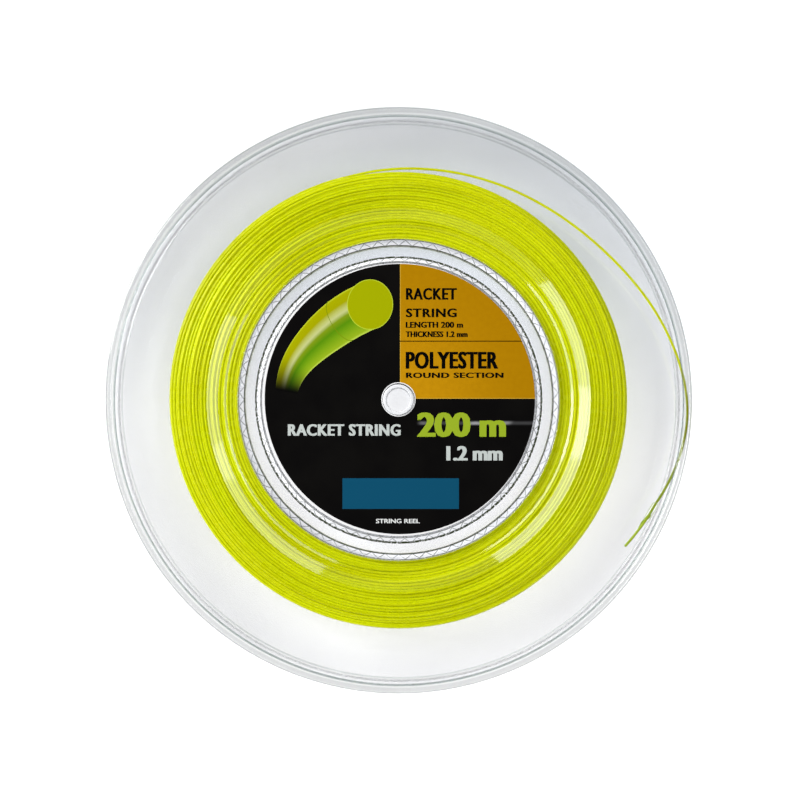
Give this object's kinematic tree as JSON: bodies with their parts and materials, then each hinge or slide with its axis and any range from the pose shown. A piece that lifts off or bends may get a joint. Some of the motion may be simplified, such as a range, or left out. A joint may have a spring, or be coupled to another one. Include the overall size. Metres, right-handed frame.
{
  "type": "string reel",
  "caption": "Flat clear reel of tennis racket string: two welded flange halves, a lined spindle hole, round labels and one long wound monofilament with its end threaded through a slot.",
  "frame": {"origin": "on the spindle axis, in the plane that the rear rim rests on", "axes": "+Z along the spindle axis towards the front label, +Y towards the top of the label's picture, +X to the right of it"},
  "size_m": [0.27, 0.27, 0.026],
  "materials": {
    "clear_moulding": "clear polystyrene, polished mould",
    "white_liner": "smooth white plastic",
    "front_print": "glossy printed vinyl, black with an ochre quadrant",
    "rear_print": "glossy printed vinyl",
    "lime_string": "smooth polyester monofilament"
  },
  "bodies": {
    "root": {"front_half": "clear_moulding", "rear_half": "clear_moulding", "front_liner": "white_liner", "rear_liner": "white_liner", "front_label": "front_print", "rear_label": "rear_print", "string_winding": "lime_string", "string_tail": "lime_string"}
  },
  "joints": []
}
